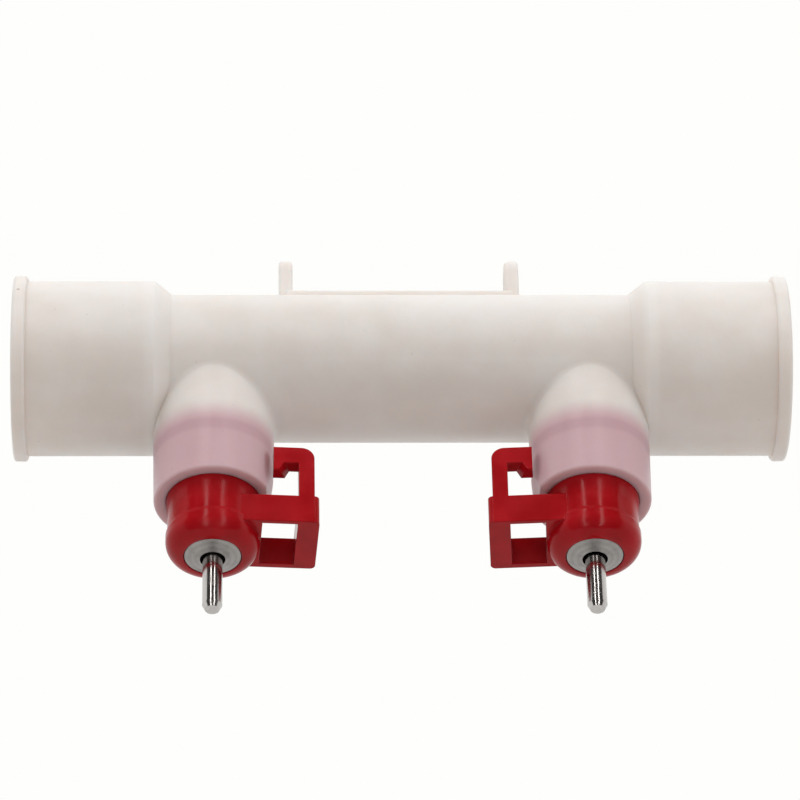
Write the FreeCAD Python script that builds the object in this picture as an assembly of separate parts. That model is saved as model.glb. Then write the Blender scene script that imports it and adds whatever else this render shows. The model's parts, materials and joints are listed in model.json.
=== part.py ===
import FreeCAD, Part
import math
import os

# Double nipple tee for a poultry water line.
# Millimetres, +Z up, +X along the water line, -Y to the front.
# The origin is the middle of the tee, on the water line's axis.

# Tee: middle pipe and end sockets
line_od = 25.0             # outside of the water line, and of the tee's middle pipe
tee_length = 130.0
pipe_wall = 2.4
socket_depth = 23.7
socket_wall = 2.15
glue_gap = 0.1             # radial room for glue round the line's pipe
taper_length = 2.8
bead_height = 0.9
bead_width = 2.3
bead_round = 0.5

# Tee: ears and pad that hold the line's support rail
ear_gap = 36.2
ear_thickness = 2.4
ear_width = 7.0
ear_height = 10.4
ear_round = 0.7
pad_width = 10.0
pad_rise = 0.8
pad_round = 0.3

# Tee: ports that carry the nipples
nipple_spacing = 62.7
port_od = 19.7             # at the mouth
port_drop = 16.4           # from the pipe's underside to the mouth
port_draft = 1.0           # degrees
port_round = 0.35
port_root_round = 1.2      # fillet where the port meets the pipe
feed_hole = 10.0
relief_height = 4.9        # sloping flat on the port, beside the hanger's hook
relief_depth = 1.05

# Nipple housing
housing_od = 15.6
housing_length = 24.1
plug_length = 12.9         # part of the housing inside the port
plug_gap = 0.08            # radial
waist_od = 15.05
waist_drop = 3.3           # height of the taper from the mouth down to the waist
waist_length = 3.2
waist_flare = 0.6          # height of the cone back out below the waist
housing_round = 2.9
inlet_od = 10.4
inlet_depth = 4.9
lip_thickness = 1.5
lip_hole = 6.8
ring_height = 1.55         # radial height of the fitted seal ring
ring_width = 1.9
ring_side_gap = 0.1
ring_drop = 3.7            # from the housing's top to the middle of the ring

# Cup hanger on the housing
hanger_turn = 3.5          # degrees, outer end to the back
hanger_reach = 17.2
hanger_depth = 12.5
hanger_height = 5.4
hanger_lift = 3.1          # from the housing's underside to the hanger's
hanger_front_wall = 0.75
hanger_back_wall = 1.0
hanger_corner = 0.9
window_length = 5.8
window_offset = 0.05       # from the housing's wall to the window

# Hook above the hanger
hook_thickness = 2.4
hook_height = 10.1
hook_setback = 0.8
post_width = 2.6
arm_height = 3.2
arm_pass = 0.2             # the arm's end reaches this far past the port's side, in front of it
arm_corner = 2.2
catch_height = 1.45
catch_radius = 12.9        # from the nipple's axis, where the catch meets the arm
catch_taper = 0.7

# Valve stack in the housing
fit_gap = 0.02             # radial gap of the pressed and sealed pieces
stack_od = 9.6
bush_length = 6.5
bush_bulge = 0.65          # the bush's cone face stands out this much at the hole
bush_recess = 0.05
bush_edge = 0.15
throat_od = 4.2
throat_length = 2.35
chamber_od = 6.4
seat_gap = 0.05            # between a valve piece and its seat, square to the seat
bush_ring_height = 0.75
bush_ring_width = 1.1
bush_ring_drop = 1.9       # from the bush's top to the middle of its ring
gasket_thickness = 1.0
gasket_hole = 4.2
upper_seat_length = 5.6
upper_seat_hole = 2.8
upper_seat_cone = 1.0

# Moving pieces
trigger_od = 3.3
trigger_drop = 10.25       # from the bush's hole edge to the trigger's tip
trigger_chamfer = 0.9
head_od = 5.7
head_rim = 1.0
head_dome = 0.38
touch_gap = 0.05           # between the trigger, the push pin and the ball
push_pin_od = 2.2
push_pin_round = 0.5
ball_od = 4.2
ball_lift = 0.65

# Ball cage
cage_hole = 6.4
cage_strainer_holes = 6
cage_strainer_od = 1.1
cage_strainer_pitch = 4.6

# Worked out
V = FreeCAD.Vector
OUT = "parts"
AXIS_X = V(1, 0, 0)
AXIS_Y = V(0, 1, 0)
AXIS_Z = V(0, 0, 1)
CENTRE = V(0, 0, 0)

pipe_r = line_od / 2
pipe_bore_r = pipe_r - pipe_wall
half_length = tee_length / 2
stop_x = half_length - socket_depth
socket_bore_r = line_od / 2 + glue_gap
socket_r = socket_bore_r + socket_wall
bead_r = socket_r + bead_height
ear_top = pipe_r + ear_height
pad_top = pipe_r + pad_rise

mouth_z = -pipe_r - port_drop
port_mouth_r = port_od / 2
housing_r = housing_od / 2
port_bore_r = housing_r + plug_gap
housing_top = mouth_z + plug_length
housing_bottom = housing_top - housing_length
waist_r = waist_od / 2
waist_top = mouth_z - waist_drop
waist_bottom = waist_top - waist_length
ring_z = housing_top - ring_drop
lip_top = housing_top - inlet_depth
lip_bottom = lip_top - lip_thickness

stack_r = stack_od / 2
piece_r = stack_r - fit_gap
bush_face = housing_bottom + bush_recess
bush_top = housing_bottom + bush_length
hole_edge = bush_face - bush_bulge
throat_r = throat_od / 2
throat_top = hole_edge + throat_length
chamber_r = chamber_od / 2
seat_top = throat_top + chamber_r - throat_r
bush_ring_z = bush_top - bush_ring_drop
gasket_top = bush_top + gasket_thickness
upper_seat_top = gasket_top + upper_seat_length
upper_hole_r = upper_seat_hole / 2
upper_cone_base = upper_seat_top - upper_seat_cone

trigger_r = trigger_od / 2
trigger_tip = hole_edge - trigger_drop
head_r = head_od / 2
head_rim_z = throat_top + head_r - throat_r + seat_gap * math.sqrt(2)
head_top = head_rim_z + head_rim + head_dome
ball_r = ball_od / 2
ball_z = upper_cone_base - upper_hole_r + (ball_r + seat_gap) * math.sqrt(2)
push_pin_bottom = head_top + touch_gap
push_pin_top = ball_z - ball_r - touch_gap
cage_roof = ball_z + ball_r + ball_lift

hanger_bottom = housing_bottom + hanger_lift
hanger_top = hanger_bottom + hanger_height
hook_top = hanger_top + hook_height
hook_outer = hanger_reach - hook_setback
hook_inner = hook_outer - post_width
arm_bottom = hook_top - arm_height
arm_end = port_mouth_r - arm_pass


def revolved(points):
    """Solid of revolution about Z from a closed outline of (radius, z) points."""
    corners = [V(r, 0, z) for r, z in points]
    corners.append(corners[0])
    face = Part.Face(Part.makePolygon(corners))
    return face.revolve(CENTRE, AXIS_Z, 360)


def upright(radius, low, high):
    """Round bar about Z between two heights."""
    return Part.makeCylinder(radius, high - low, V(0, 0, low))


def lying(radius, left, right):
    """Round bar about X between two places on X."""
    return Part.makeCylinder(radius, right - left, V(left, 0, 0), AXIS_X)


def block(x, y, z):
    """Box from three (low, high) pairs."""
    return Part.makeBox(x[1] - x[0], y[1] - y[0], z[1] - z[0], V(x[0], y[0], z[0]))


def seal_ring(inner_r, height, width, middle_z):
    """Fitted seal ring: flat against its groove and its bore, round at both sides."""
    side = width / 2 - height / 2
    inner_low = V(inner_r, 0, middle_z - side)
    inner_high = V(inner_r, 0, middle_z + side)
    outer_low = V(inner_r + height, 0, middle_z - side)
    outer_high = V(inner_r + height, 0, middle_z + side)
    top = V(inner_r + height / 2, 0, middle_z + width / 2)
    bottom = V(inner_r + height / 2, 0, middle_z - width / 2)
    edges = [
        Part.LineSegment(inner_low, inner_high).toShape(),
        Part.Arc(inner_high, top, outer_high).toShape(),
        Part.LineSegment(outer_high, outer_low).toShape(),
        Part.Arc(outer_low, bottom, inner_low).toShape(),
    ]
    face = Part.Face(Part.Wire(edges))
    return face.revolve(CENTRE, AXIS_Z, 360)


def groove(inner_r, outer_r, width, middle_z):
    """Cutter for a square groove in the outside of a round piece."""
    low = middle_z - width / 2
    high = middle_z + width / 2
    return upright(outer_r + 1, low, high).cut(upright(inner_r, low, high))


def tee_outside():
    """Middle pipe, tapers, sockets and end beads, turned about X."""
    half = [
        (0, pipe_r),
        (stop_x - taper_length, pipe_r),
        (stop_x, socket_r),
        (half_length - bead_width, socket_r),
        (half_length - bead_width, bead_r),
        (half_length, bead_r),
    ]
    outline = [V(-x, 0, r) for x, r in reversed(half[1:])]
    outline += [V(x, 0, r) for x, r in half[1:]]
    outline += [V(half_length, 0, 0), V(-half_length, 0, 0)]
    outline.append(outline[0])
    body = Part.Face(Part.makePolygon(outline)).revolve(CENTRE, AXIS_X, 360)
    bead_edges = [e for e in body.Edges if is_bead_edge(e)]
    return body.makeFillet(bead_round, bead_edges)


def is_bead_edge(edge):
    """True for the two round edges of each end bead."""
    box = edge.BoundBox
    return box.XLength < 0.01 and abs(box.ZMax - bead_r) < 0.01


def ear(side):
    """Upright ear with a full round top, its face edges rounded."""
    low_x = side * (ear_gap / 2 + ear_thickness / 2) - ear_thickness / 2
    round_r = ear_width / 2
    shank_top = ear_top - round_r
    left = V(low_x, -round_r, 0)
    left_top = V(low_x, -round_r, shank_top)
    right_top = V(low_x, round_r, shank_top)
    right = V(low_x, round_r, 0)
    edges = [
        Part.LineSegment(left, left_top).toShape(),
        Part.Arc(left_top, V(low_x, 0, ear_top), right_top).toShape(),
        Part.LineSegment(right_top, right).toShape(),
        Part.LineSegment(right, left).toShape(),
    ]
    plate = Part.Face(Part.Wire(edges)).extrude(V(ear_thickness, 0, 0))
    rim = [e for e in plate.Edges if e.BoundBox.XLength < 0.01 and e.BoundBox.ZMax > 1]
    return plate.makeFillet(ear_round, rim)


def pad():
    """Flat-topped seat between the ears."""
    reach = ear_gap / 2 + ear_thickness / 2
    half_width = pad_width / 2
    body = block((-reach, reach), (-half_width, half_width), (0, pad_top))
    top_edges = [e for e in body.Edges if e.BoundBox.ZMin > pad_top - 0.01 and e.BoundBox.XLength > 1]
    return body.makeFillet(pad_round, top_edges)


def port():
    """Drafted round port below the pipe, with the sloping flat on its inner side."""
    slope = math.tan(math.radians(port_draft))
    root_r = port_mouth_r - mouth_z * slope
    body = Part.makeCone(port_mouth_r, root_r, -mouth_z, V(0, 0, mouth_z))
    mouth_edge = [e for e in body.Edges if e.BoundBox.ZMax < mouth_z + 0.01]
    body = body.makeFillet(port_round, mouth_edge)
    flat_x = port_mouth_r - relief_depth
    top_x = port_mouth_r + relief_height * slope
    clear = port_mouth_r + relief_height
    outline = [
        V(flat_x, -clear, mouth_z),
        V(top_x, -clear, mouth_z + relief_height),
        V(clear, -clear, mouth_z + relief_height),
        V(clear, -clear, mouth_z - 1),
        V(flat_x, -clear, mouth_z - 1),
    ]
    outline.append(outline[0])
    wedge = Part.Face(Part.makePolygon(outline)).extrude(V(0, 2 * clear, 0))
    return body.cut(wedge)


def port_cavity():
    """Nipple's bore from the mouth up to its stop, and the feed hole above it."""
    bore = upright(port_bore_r, mouth_z - 1, housing_top)
    return bore.fuse(upright(feed_hole / 2, housing_top - 1, 0))


def is_port_root(edge):
    """True for the edge where a port meets the middle pipe's underside."""
    box = edge.BoundBox
    return box.YLength > port_od / 2 and box.ZMax < 0 and box.ZMin > -pipe_r - 0.01 and box.XMax < stop_x


def build_pipe_body():
    """The whole tee, moulded in one."""
    body = tee_outside().fuse([place(port(), -1), place(port(), 1)])
    root_edges = [e for e in body.Edges if is_port_root(e)]
    body = body.makeFillet(port_root_round, root_edges)
    body = body.fuse([pad(), ear(-1), ear(1)])
    cutters = [
        lying(socket_bore_r, stop_x, half_length + 1),
        lying(socket_bore_r, -half_length - 1, -stop_x),
        place(port_cavity(), -1),
        place(port_cavity(), 1),
    ]
    passage = lying(pipe_bore_r, -stop_x - 1, stop_x + 1)
    return body.cut(cutters + [passage]).removeSplitter()


def hanger():
    """Rectangular loop beside the housing, for the drip cup's arm."""
    half_depth = hanger_depth / 2
    heights = (hanger_bottom, hanger_top)
    body = block((0, hanger_reach), (-half_depth, half_depth), heights)
    corners = [
        e for e in body.Edges
        if e.BoundBox.ZLength > 1 and e.BoundBox.XMin > hanger_reach - 0.01
    ]
    body = body.makeFillet(hanger_corner, corners)
    window_x = housing_r + window_offset
    window = block(
        (window_x, window_x + window_length),
        (hanger_front_wall - half_depth, half_depth - hanger_back_wall),
        (hanger_bottom - 1, hanger_top + 1),
    )
    return body.cut(window)


def hook():
    """Post and arm flush with the hanger's front, with a catch under the arm's free end."""
    front = -hanger_depth / 2
    depth = (front, front + hook_thickness)
    post = block((hook_inner, hook_outer), depth, (hanger_bottom, hook_top))
    arm = block((arm_end, hook_outer), depth, (arm_bottom, hook_top))
    frame = post.fuse(arm).removeSplitter()
    corner = [
        e for e in frame.Edges
        if e.BoundBox.YLength > 1 and e.BoundBox.XMin > hook_outer - 0.01 and e.BoundBox.ZMin > hook_top - 0.01
    ]
    frame = frame.makeFillet(arm_corner, corner)
    catch_low = arm_bottom - catch_height
    catch_block = block((arm_end, hook_inner), depth, (catch_low, arm_bottom))
    catch_cone = revolved([
        (0, catch_low),
        (catch_radius - catch_taper, catch_low),
        (catch_radius, arm_bottom),
        (0, arm_bottom),
    ])
    return frame.fuse(catch_block.common(catch_cone)).removeSplitter()


def housing_shell():
    """Outside of the housing: plug, waist and a lower end with a rounded edge."""
    body = revolved([
        (0, housing_bottom),
        (housing_r, housing_bottom),
        (housing_r, waist_bottom - waist_flare),
        (waist_r, waist_bottom),
        (waist_r, waist_top),
        (housing_r, mouth_z),
        (housing_r, housing_top),
        (0, housing_top),
    ])
    bottom_edge = [e for e in body.Edges if e.BoundBox.ZMax < housing_bottom + 0.01]
    return body.makeFillet(housing_round, bottom_edge)


def build_housing():
    """Nipple housing with its cup hanger, moulded in one."""
    loop = hanger().fuse(hook()).removeSplitter()
    loop.rotate(CENTRE, AXIS_Z, hanger_turn)
    body = housing_shell().fuse(loop).removeSplitter()
    ring_floor = port_bore_r - ring_height
    cutters = [
        upright(stack_r, housing_bottom - 1, lip_bottom),
        upright(lip_hole / 2, lip_bottom - 1, lip_top + 1),
        upright(inlet_od / 2, lip_top, housing_top + 1),
        groove(ring_floor, housing_r, ring_width + 2 * ring_side_gap, ring_z),
    ]
    return body.cut(cutters)


def build_housing_o_ring():
    """Seal ring between the housing and the port's bore."""
    inner = port_bore_r - ring_height
    return seal_ring(inner + fit_gap, ring_height - 2 * fit_gap, ring_width, ring_z)


def build_seat_bush():
    """Steel bush with the trigger's throat and seat, its lower face a shallow cone."""
    body = revolved([
        (throat_r, hole_edge),
        (piece_r - bush_edge, bush_face),
        (piece_r, bush_face + bush_edge),
        (piece_r, bush_top),
        (chamber_r, bush_top),
        (chamber_r, seat_top),
        (throat_r, throat_top),
    ])
    ring_floor = stack_r - bush_ring_height
    return body.cut(groove(ring_floor, piece_r, bush_ring_width + 2 * ring_side_gap, bush_ring_z))


def build_bush_o_ring():
    """Seal ring between the bush and the housing."""
    inner = stack_r - bush_ring_height
    return seal_ring(inner + fit_gap, bush_ring_height - 2 * fit_gap, bush_ring_width, bush_ring_z)


def build_trigger_pin():
    """Stem with a chamfered tip, and a head whose cone rests on the bush's seat."""
    cone_foot = head_rim_z - (head_r - trigger_r)
    return revolved([
        (0, trigger_tip),
        (trigger_r - trigger_chamfer / 2, trigger_tip),
        (trigger_r, trigger_tip + trigger_chamfer),
        (trigger_r, cone_foot),
        (head_r, head_rim_z),
        (head_r, head_rim_z + head_rim),
        (head_r - head_dome, head_top),
        (0, head_top),
    ])


def build_seat_gasket():
    """Rubber gasket between the bush and the upper seat."""
    disc = upright(piece_r, bush_top, gasket_top)
    return disc.cut(upright(gasket_hole / 2, bush_top - 1, gasket_top + 1))


def build_upper_seat():
    """Steel sleeve with the ball's cone seat at its top."""
    cone_r = upper_hole_r + upper_seat_cone
    return revolved([
        (upper_hole_r, gasket_top),
        (piece_r, gasket_top),
        (piece_r, upper_seat_top),
        (cone_r, upper_seat_top),
        (upper_hole_r, upper_cone_base),
    ])


def build_push_pin():
    """Pin that lifts the ball when the trigger tilts, its lower end rounded."""
    pin = upright(push_pin_od / 2, push_pin_bottom, push_pin_top)
    low_edge = [e for e in pin.Edges if e.BoundBox.ZMax < push_pin_bottom + 0.01]
    return pin.makeFillet(push_pin_round, low_edge)


def build_valve_ball():
    """Ball that closes the upper seat."""
    return Part.makeSphere(ball_r, V(0, 0, ball_z))


def build_ball_cage():
    """Cage between the upper seat and the housing's lip, with strainer holes in its roof."""
    body = revolved([
        (cage_hole / 2, upper_seat_top),
        (piece_r, upper_seat_top),
        (piece_r, lip_bottom),
        (0, lip_bottom),
        (0, cage_roof),
        (cage_hole / 2, cage_roof),
    ])
    hole = Part.makeCylinder(cage_strainer_od / 2, lip_bottom - cage_roof + 2, V(0, 0, cage_roof - 1))
    hole.translate(V(cage_strainer_pitch / 2, 0, 0))
    for number in range(cage_strainer_holes):
        cutter = hole.copy()
        cutter.rotate(CENTRE, AXIS_Z, number * 360 / cage_strainer_holes)
        body = body.cut(cutter)
    return body


def place(shape, side):
    """Set a nipple piece on its port: -1 is left, 1 is right and mirrored."""
    placed = shape.copy()
    if side > 0:
        placed = placed.mirror(CENTRE, AXIS_X)
    placed.translate(V(side * nipple_spacing / 2, 0, 0))
    return placed


def save(shape, node):
    """Write one node as a STEP file."""
    solids = shape.Solids
    if len(solids) != 1 or not solids[0].isValid():
        raise RuntimeError("%s has %d solids or isn't valid" % (node, len(solids)))
    solids[0].exportStep("%s/%s.step" % (OUT, node))
    print("%-22s volume %9.2f mm3" % (node, solids[0].Volume))


NIPPLE_PIECES = {
    "housing": build_housing,
    "housing_o_ring": build_housing_o_ring,
    "seat_bush": build_seat_bush,
    "bush_o_ring": build_bush_o_ring,
    "trigger_pin": build_trigger_pin,
    "seat_gasket": build_seat_gasket,
    "upper_seat": build_upper_seat,
    "push_pin": build_push_pin,
    "valve_ball": build_valve_ball,
    "ball_cage": build_ball_cage,
}


def main():
    os.makedirs(OUT, exist_ok=True)
    save(build_pipe_body(), "pipe_body")
    for name, build in NIPPLE_PIECES.items():
        piece = build()
        for side, word in ((-1, "left"), (1, "right")):
            save(place(piece, side), "%s_%s" % (name, word))


main()
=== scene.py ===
import json
import math

import bpy
from mathutils import Matrix, Vector


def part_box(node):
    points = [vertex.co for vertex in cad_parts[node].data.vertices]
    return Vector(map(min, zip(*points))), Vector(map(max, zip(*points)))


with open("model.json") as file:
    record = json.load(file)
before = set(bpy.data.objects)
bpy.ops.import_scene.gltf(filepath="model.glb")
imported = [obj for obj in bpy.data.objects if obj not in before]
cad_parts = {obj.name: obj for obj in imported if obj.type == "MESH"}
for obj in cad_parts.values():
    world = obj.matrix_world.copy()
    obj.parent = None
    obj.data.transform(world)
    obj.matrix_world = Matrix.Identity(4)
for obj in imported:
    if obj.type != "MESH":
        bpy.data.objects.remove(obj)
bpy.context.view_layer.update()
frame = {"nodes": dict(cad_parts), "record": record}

# Camera: below and in front of the tee, looking up, with a long lens
CAMERA_DISTANCE = 0.850
CAMERA_LENS = 226.37
CAMERA_RISE = math.radians(39.459)
CAMERA_TURN = math.radians(1.901)
CAMERA_ROLL = math.radians(-1.219)
CAMERA_DROP = 0.00527          # how far below the line's axis it aims

# Places on the tee, in metres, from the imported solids
pin_low, pin_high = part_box("trigger_pin_right")
ring_low, ring_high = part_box("housing_o_ring_right")
NIPPLE_X = (pin_low[0] + pin_high[0]) / 2
PLUG_TOP_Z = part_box("housing_right")[1][2]
RING_Z = (ring_low[2] + ring_high[2]) / 2

# Sizes of the tee that the boxes don't give, in metres
PIPE_R = 0.0125
PORT_R = 0.00985               # at the mouth
STOP_X = 0.0413                # where the sockets' shoulders are

# Small dirt specks on the tee: place and radius
SPECKS = (
    (Vector((-0.0640, -0.0150, 0.0050)), 0.0004),
    (Vector((0.0530, -0.0140, -0.0030)), 0.0003),
)

# Studio
FLOOR_Z = -1.30
STRIP_X = 0.134                # the two strips stand left and right of the middle
STRIP_Y = -0.36
DARK_CARD_Y = -0.7


class Nodes:
    """A small helper that builds one material's node tree."""

    def __init__(self, name):
        self.material = bpy.data.materials.new(name)
        self.material.use_nodes = True
        self.tree = self.material.node_tree
        self.tree.nodes.clear()
        self.output = self.tree.nodes.new("ShaderNodeOutputMaterial")
        self.coordinates = self.tree.nodes.new("ShaderNodeTexCoord").outputs["Object"]
        parts = self.tree.nodes.new("ShaderNodeSeparateXYZ")
        self.link(self.coordinates, parts.inputs[0])
        self.x, self.y, self.z = parts.outputs

    def link(self, source, socket):
        self.tree.links.new(source, socket)

    def feed(self, socket, value):
        if hasattr(value, "is_linked"):
            self.link(value, socket)
        else:
            socket.default_value = value

    def math(self, operation, a, b=0.0, c=0.0):
        node = self.tree.nodes.new("ShaderNodeMath")
        node.operation = operation
        for socket, value in zip(node.inputs, (a, b, c)):
            self.feed(socket, value)
        return node.outputs[0]

    def ramp(self, value, low, high, to_low=0.0, to_high=1.0):
        """Smooth step of a value between two limits."""
        node = self.tree.nodes.new("ShaderNodeMapRange")
        node.interpolation_type = "SMOOTHSTEP"
        self.feed(node.inputs["Value"], value)
        node.inputs["From Min"].default_value = low
        node.inputs["From Max"].default_value = high
        node.inputs["To Min"].default_value = to_low
        node.inputs["To Max"].default_value = to_high
        return node.outputs[0]

    def band(self, value, centre, width, soft):
        """1 inside a band of a value, 0 outside, with soft sides."""
        away = self.math("ABSOLUTE", self.math("SUBTRACT", value, centre))
        return self.ramp(away, width / 2, width / 2 + soft, 1.0, 0.0)

    def mix(self, factor, a, b):
        node = self.tree.nodes.new("ShaderNodeMix")
        node.data_type = "RGBA"
        self.feed(node.inputs[0], factor)
        self.feed(node.inputs[6], a)
        self.feed(node.inputs[7], b)
        return node.outputs[2]

    def noise(self, scale, detail=3.0, stretch=None):
        """Noise over the part, drawn out along the axes where stretch is under 1."""
        node = self.tree.nodes.new("ShaderNodeTexNoise")
        node.inputs["Scale"].default_value = scale
        node.inputs["Detail"].default_value = detail
        node.inputs["Roughness"].default_value = 0.55
        vector = self.coordinates
        if stretch is not None:
            mapping = self.tree.nodes.new("ShaderNodeMapping")
            mapping.inputs["Scale"].default_value = stretch
            self.link(vector, mapping.inputs["Vector"])
            vector = mapping.outputs[0]
        self.link(vector, node.inputs["Vector"])
        return node.outputs["Fac"]

    def around_nipple(self):
        """Distance from the nearer nipple's axis."""
        side = self.math("SUBTRACT", self.math("ABSOLUTE", self.x), NIPPLE_X)
        side_square = self.math("MULTIPLY", side, side)
        depth_square = self.math("MULTIPLY", self.y, self.y)
        return self.math("SQRT", self.math("ADD", side_square, depth_square))

    def spot(self, place, radius):
        """1 at a small spot on the surface."""
        node = self.tree.nodes.new("ShaderNodeVectorMath")
        node.operation = "DISTANCE"
        self.link(self.coordinates, node.inputs[0])
        node.inputs[1].default_value = place
        return self.ramp(node.outputs["Value"], radius * 0.55, radius, 1.0, 0.0)

    def bump(self, height, distance, strength, edge=0.0):
        """Fine relief, with sharp edges softened over a radius where edge is given."""
        node = self.tree.nodes.new("ShaderNodeBump")
        node.inputs["Strength"].default_value = strength
        node.inputs["Distance"].default_value = distance
        self.link(height, node.inputs["Height"])
        if edge:
            bevel = self.tree.nodes.new("ShaderNodeBevel")
            bevel.samples = 6
            bevel.inputs["Radius"].default_value = edge
            self.link(bevel.outputs[0], node.inputs["Normal"])
        return node.outputs[0]

    def principled(self, **values):
        node = self.tree.nodes.new("ShaderNodeBsdfPrincipled")
        for name, value in values.items():
            self.feed(node.inputs[name.replace("_", " ")], value)
        return node

    def finish(self, shader):
        self.link(shader.outputs[0], self.output.inputs["Surface"])
        return self.material


def rgba(r, g, b):
    return (r, g, b, 1.0)


BACKDROP = rgba(0.992, 0.992, 0.975)


def milky_plastic():
    """Translucent polypropylene: the red plug and the seal ring show dimly through the ports."""
    n = Nodes("milky_plastic")
    reach = n.around_nipple()
    near_nipple = n.ramp(reach, PORT_R + 0.0004, PORT_R + 0.0012, 1.0, 0.0)
    below_pipe = n.ramp(n.z, -PIPE_R - 0.0003, -PIPE_R + 0.0007, 1.0, 0.0)
    on_port = n.math("MULTIPLY", near_nipple, below_pipe)
    clouds = n.noise(90.0, 4.0)
    streaks = n.noise(60.0, 3.0, (0.25, 1.0, 1.0))
    # red plug behind the wall, from its top to the mouth, with wavy contact
    wave = n.math("MULTIPLY", n.math("SUBTRACT", clouds, 0.5), 0.0012)
    height = n.math("ADD", n.z, wave)
    plug = n.ramp(height, PLUG_TOP_Z - 0.0030, PLUG_TOP_Z + 0.0018, 1.0, 0.0)
    pink = n.math("MULTIPLY", plug, on_port)
    ring = n.math("MULTIPLY", n.band(height, RING_Z, 0.0009, 0.0012), on_port)
    # base colour with faint clouds and flow streaks along the line
    light = rgba(0.86, 0.82, 0.79)
    dull = rgba(0.80, 0.75, 0.71)
    base = n.mix(n.ramp(n.math("ADD", clouds, streaks), 0.75, 1.25), dull, light)
    # walls that lie double near the sockets' shoulders look a little denser
    along = n.math("ABSOLUTE", n.x)
    shoulder = n.math("MULTIPLY", n.band(along, STOP_X + 0.0004, 0.0012, 0.0012), 0.35)
    base = n.mix(shoulder, base, rgba(0.90, 0.87, 0.85))
    base = n.mix(n.math("MULTIPLY", pink, 0.80), base, rgba(0.60, 0.36, 0.41))
    base = n.mix(n.math("MULTIPLY", ring, 0.28), base, rgba(0.44, 0.24, 0.30))
    # small dirt specks
    specks = None
    for place, radius in SPECKS:
        spot = n.spot(place, radius)
        specks = spot if specks is None else n.math("MAXIMUM", specks, spot)
    fine = n.math("GREATER_THAN", n.noise(900.0, 1.0), 0.795)
    specks = n.math("MAXIMUM", specks, n.math("MULTIPLY", fine, 0.25))
    base = n.mix(n.math("MULTIPLY", specks, 0.6), base, rgba(0.30, 0.26, 0.23))
    grain = n.noise(1400.0, 2.0)
    soft = n.noise(140.0, 3.0)
    relief = n.math("ADD", n.math("MULTIPLY", grain, 0.25), soft)
    shader = n.principled(
        Base_Color=base,
        Roughness=n.ramp(soft, 0.3, 0.7, 0.34, 0.46),
        IOR=1.49,
        Subsurface_Weight=0.75,
        Subsurface_Radius=(1.0, 0.80, 0.70),
        Subsurface_Scale=0.0034,
        Specular_IOR_Level=0.35,
        Normal=n.bump(relief, 0.00012, 0.5, 0.0004),
    )
    return n.finish(shader)


def red_plastic():
    """Glossy red moulded plastic with faint flow lines and soft edges."""
    n = Nodes("red_plastic")
    clouds = n.noise(220.0, 4.0)
    flow = n.noise(160.0, 3.0, (1.0, 1.0, 0.3))
    shade = n.ramp(n.math("ADD", clouds, flow), 0.7, 1.3)
    base = n.mix(shade, rgba(0.33, 0.003, 0.006), rgba(0.42, 0.005, 0.010))
    grain = n.noise(1700.0, 2.0)
    relief = n.math("ADD", n.math("MULTIPLY", grain, 0.18), flow)
    shader = n.principled(
        Base_Color=base,
        Roughness=n.ramp(clouds, 0.3, 0.7, 0.15, 0.24),
        IOR=1.49,
        Specular_IOR_Level=0.16,
        Subsurface_Weight=0.08,
        Subsurface_Radius=(1.0, 0.2, 0.2),
        Subsurface_Scale=0.0008,
        Normal=n.bump(relief, 0.00008, 0.5, 0.0003),
    )
    return n.finish(shader)


def turned_steel():
    """Stainless steel off the lathe: rings round the nipple's axis."""
    n = Nodes("turned_steel")
    reach = n.around_nipple()
    wander = n.math("MULTIPLY", n.noise(500.0, 3.0), 0.00022)
    turn = n.math("MULTIPLY", n.math("ADD", reach, wander), 26000.0)
    rings = n.math("MULTIPLY_ADD", n.math("SINE", turn), 0.5, 0.5)
    coarse = n.math("MULTIPLY_ADD", n.math("SINE", n.math("MULTIPLY", turn, 0.23)), 0.5, 0.5)
    marks = n.math("ADD", n.math("MULTIPLY", rings, 0.6), n.math("MULTIPLY", coarse, 0.4))
    stain = n.noise(420.0, 4.0)
    base = n.mix(marks, rgba(0.25, 0.235, 0.225), rgba(0.36, 0.345, 0.335))
    base = n.mix(n.ramp(stain, 0.52, 0.72, 0.0, 0.45), base, rgba(0.17, 0.155, 0.145))
    tangent = n.tree.nodes.new("ShaderNodeTangent")
    tangent.direction_type = "RADIAL"
    tangent.axis = "Z"
    shader = n.principled(
        Base_Color=base,
        Metallic=1.0,
        Roughness=n.ramp(stain, 0.3, 0.7, 0.24, 0.38),
        Anisotropic=0.45,
        Normal=n.bump(marks, 0.00002, 0.6, 0.00008),
        Tangent=tangent.outputs[0],
    )
    return n.finish(shader)


def polished_steel():
    """Polished stainless pin with fine drawn lines along it."""
    n = Nodes("polished_steel")
    lines = n.noise(1500.0, 3.0, (1.0, 1.0, 0.04))
    wear = n.noise(350.0, 4.0)
    base = n.mix(lines, rgba(0.42, 0.40, 0.39), rgba(0.62, 0.60, 0.585))
    base = n.mix(n.ramp(wear, 0.56, 0.74, 0.0, 0.4), base, rgba(0.28, 0.26, 0.25))
    shader = n.principled(
        Base_Color=base,
        Metallic=1.0,
        Roughness=n.ramp(wear, 0.3, 0.7, 0.12, 0.24),
        Normal=n.bump(lines, 0.00001, 0.5, 0.0001),
    )
    return n.finish(shader)


def seal_rubber():
    """Black rubber with a dull bloom."""
    n = Nodes("seal_rubber")
    bloom = n.noise(600.0, 4.0)
    base = n.mix(n.ramp(bloom, 0.35, 0.75), rgba(0.012, 0.012, 0.013), rgba(0.040, 0.039, 0.038))
    shader = n.principled(
        Base_Color=base,
        Roughness=n.ramp(bloom, 0.3, 0.7, 0.5, 0.75),
        Normal=n.bump(n.noise(2500.0, 2.0), 0.00002, 0.5),
    )
    return n.finish(shader)


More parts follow.
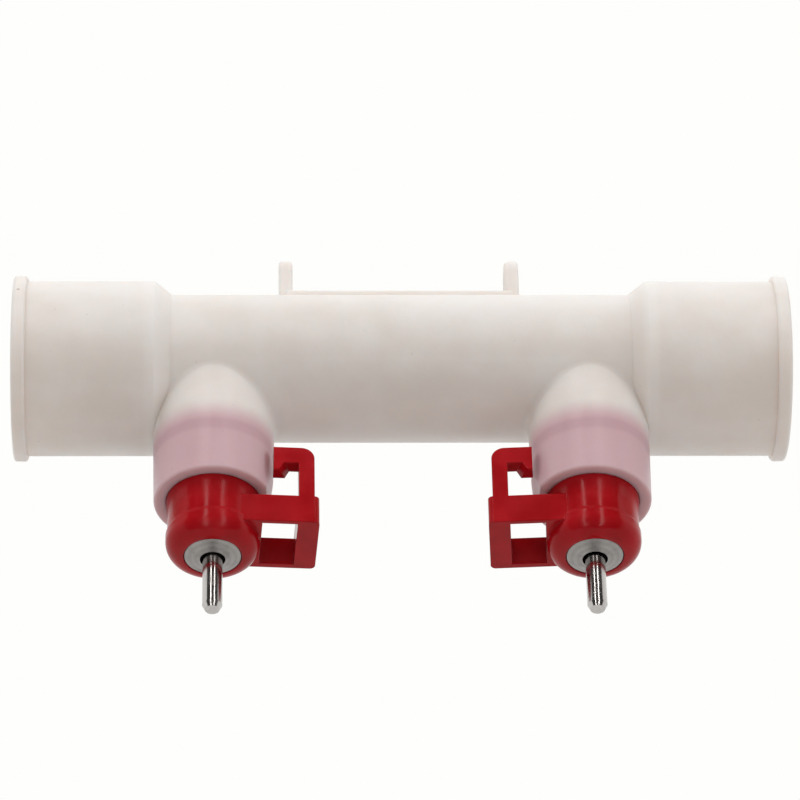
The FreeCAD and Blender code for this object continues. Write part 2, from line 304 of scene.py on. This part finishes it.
def grey_plastic():
    """Matt grey moulded plastic of the ball cages."""
    n = Nodes("grey_plastic")
    clouds = n.noise(300.0, 3.0)
    base = n.mix(clouds, rgba(0.10, 0.105, 0.11), rgba(0.15, 0.155, 0.16))
    shader = n.principled(
        Base_Color=base,
        Roughness=n.ramp(clouds, 0.3, 0.7, 0.45, 0.6),
        Normal=n.bump(n.noise(1500.0, 2.0), 0.00003, 0.5, 0.0002),
    )
    return n.finish(shader)


def seen_directly(tree):
    """1 for camera, glossy and transmission rays."""
    path = tree.nodes.new("ShaderNodeLightPath")
    total = None
    for name in ("Is Camera Ray", "Is Glossy Ray", "Is Transmission Ray"):
        if total is None:
            total = path.outputs[name]
            continue
        add = tree.nodes.new("ShaderNodeMath")
        add.operation = "MAXIMUM"
        tree.links.new(total, add.inputs[0])
        tree.links.new(path.outputs[name], add.inputs[1])
        total = add.outputs[0]
    return total


def make_world():
    """White backdrop where it is seen directly, and a dimmer, warmer room that lights the part."""
    world = bpy.data.worlds.new("studio")
    bpy.context.scene.world = world
    world.use_nodes = True
    tree = world.node_tree
    tree.nodes.clear()
    output = tree.nodes.new("ShaderNodeOutputWorld")
    mix = tree.nodes.new("ShaderNodeMixShader")
    room = tree.nodes.new("ShaderNodeBackground")
    room.inputs["Color"].default_value = rgba(1.0, 0.985, 0.975)
    room.inputs["Strength"].default_value = 0.62
    white = tree.nodes.new("ShaderNodeBackground")
    white.inputs["Color"].default_value = BACKDROP
    white.inputs["Strength"].default_value = 1.0
    tree.links.new(seen_directly(tree), mix.inputs[0])
    tree.links.new(room.outputs[0], mix.inputs[1])
    tree.links.new(white.outputs[0], mix.inputs[2])
    tree.links.new(mix.outputs[0], output.inputs["Surface"])


def plane(name, size, place, normal):
    """Flat rectangle that faces along a direction."""
    w, h = size[0] / 2, size[1] / 2
    mesh = bpy.data.meshes.new(name)
    mesh.from_pydata([(-w, -h, 0), (w, -h, 0), (w, h, 0), (-w, h, 0)], [], [(0, 1, 2, 3)])
    thing = bpy.data.objects.new(name, mesh)
    turn = Vector(normal).to_track_quat("Z", "Y").to_matrix().to_4x4()
    thing.matrix_world = Matrix.Translation(place) @ turn
    bpy.context.scene.collection.objects.link(thing)
    return thing


def make_floor():
    """Pale floor far below the part, close to the backdrop in colour."""
    floor = plane("floor", (12.0, 12.0), (0, 0, FLOOR_Z), (0, 0, 1))
    n = Nodes("pale_floor")
    diffuse = n.tree.nodes.new("ShaderNodeBsdfDiffuse")
    diffuse.inputs["Color"].default_value = rgba(0.80, 0.775, 0.75)
    white = n.tree.nodes.new("ShaderNodeEmission")
    white.inputs["Color"].default_value = BACKDROP
    mix = n.tree.nodes.new("ShaderNodeMixShader")
    n.link(n.math("MULTIPLY", seen_directly(n.tree), 0.8), mix.inputs[0])
    n.link(diffuse.outputs[0], mix.inputs[1])
    n.link(white.outputs[0], mix.inputs[2])
    n.link(mix.outputs[0], n.output.inputs["Surface"])
    floor.data.materials.append(n.material)


def make_card(name, size, place, normal, level):
    """Studio card, dark or bright, that only shows in reflections."""
    card = plane(name, size, place, normal)
    n = Nodes(name)
    glow = n.tree.nodes.new("ShaderNodeEmission")
    glow.inputs["Color"].default_value = rgba(1.0, 0.97, 0.95)
    glow.inputs["Strength"].default_value = level
    n.link(glow.outputs[0], n.output.inputs["Surface"])
    card.data.materials.append(n.material)
    card.visible_camera = False
    card.visible_diffuse = False
    card.visible_shadow = False
    card.visible_transmission = False


def make_light(name, place, size, power):
    """Soft area light that faces the part and shows in no reflection."""
    data = bpy.data.lights.new(name, "AREA")
    data.shape = "RECTANGLE"
    data.size, data.size_y = size
    data.energy = power
    data.color = (1.0, 0.99, 0.98)
    lamp = bpy.data.objects.new(name, data)
    lamp.location = place
    lamp.rotation_mode = "QUATERNION"
    lamp.rotation_quaternion = (-Vector(place)).to_track_quat("-Z", "Y")
    bpy.context.scene.collection.objects.link(lamp)
    lamp.visible_camera = False
    lamp.visible_glossy = False


def make_camera():
    rise, turn, roll = CAMERA_RISE, CAMERA_TURN, CAMERA_ROLL
    level_reach = math.cos(rise)
    ahead = Vector((math.sin(turn) * level_reach, math.cos(turn) * level_reach, math.sin(rise)))
    level = Vector((math.cos(turn), -math.sin(turn), 0))
    over = level.cross(ahead)
    right = level * math.cos(roll) + over * math.sin(roll)
    up = over * math.cos(roll) - level * math.sin(roll)
    data = bpy.data.cameras.new("camera")
    data.sensor_width = 36.0
    data.lens = CAMERA_LENS
    data.clip_start = 0.05
    data.clip_end = 50.0
    camera = bpy.data.objects.new("camera", data)
    place = -ahead * CAMERA_DISTANCE - up * CAMERA_DROP
    turned = Matrix((right, up, -ahead)).transposed().to_4x4()
    camera.matrix_world = Matrix.Translation(place) @ turned
    bpy.context.scene.collection.objects.link(camera)
    bpy.context.scene.camera = camera


def dress():
    """Gives every CAD node its material, by the record's slots."""
    makers = {
        "milky_plastic": milky_plastic,
        "red_plastic": red_plastic,
        "turned_steel": turned_steel,
        "polished_steel": polished_steel,
        "seal_rubber": seal_rubber,
        "grey_plastic": grey_plastic,
    }
    made = {name: maker() for name, maker in makers.items()}
    for part in frame["record"]["subparts"]:
        node = frame["nodes"][part["node"]]
        node.data.materials.clear()
        node.data.materials.append(made[part["material_slot"]])


bpy.context.scene.view_settings.view_transform = "Standard"
make_camera()
make_world()
make_floor()
make_light("key", (-0.3, -1.0, 1.3), (1.4, 1.0), 14.0)
make_light("side", (1.4, -0.6, 0.3), (0.8, 1.2), 3.0)
make_card("front_flag", (3.0, 3.0), (0.0, DARK_CARD_Y, 0.0), (0, 1, 0), 0.06)
for side in (-1, 1):
    make_card("strip", (0.036, 0.90), (side * STRIP_X, STRIP_Y, 0.05), (0, 1, 0), 7.0)
dress()
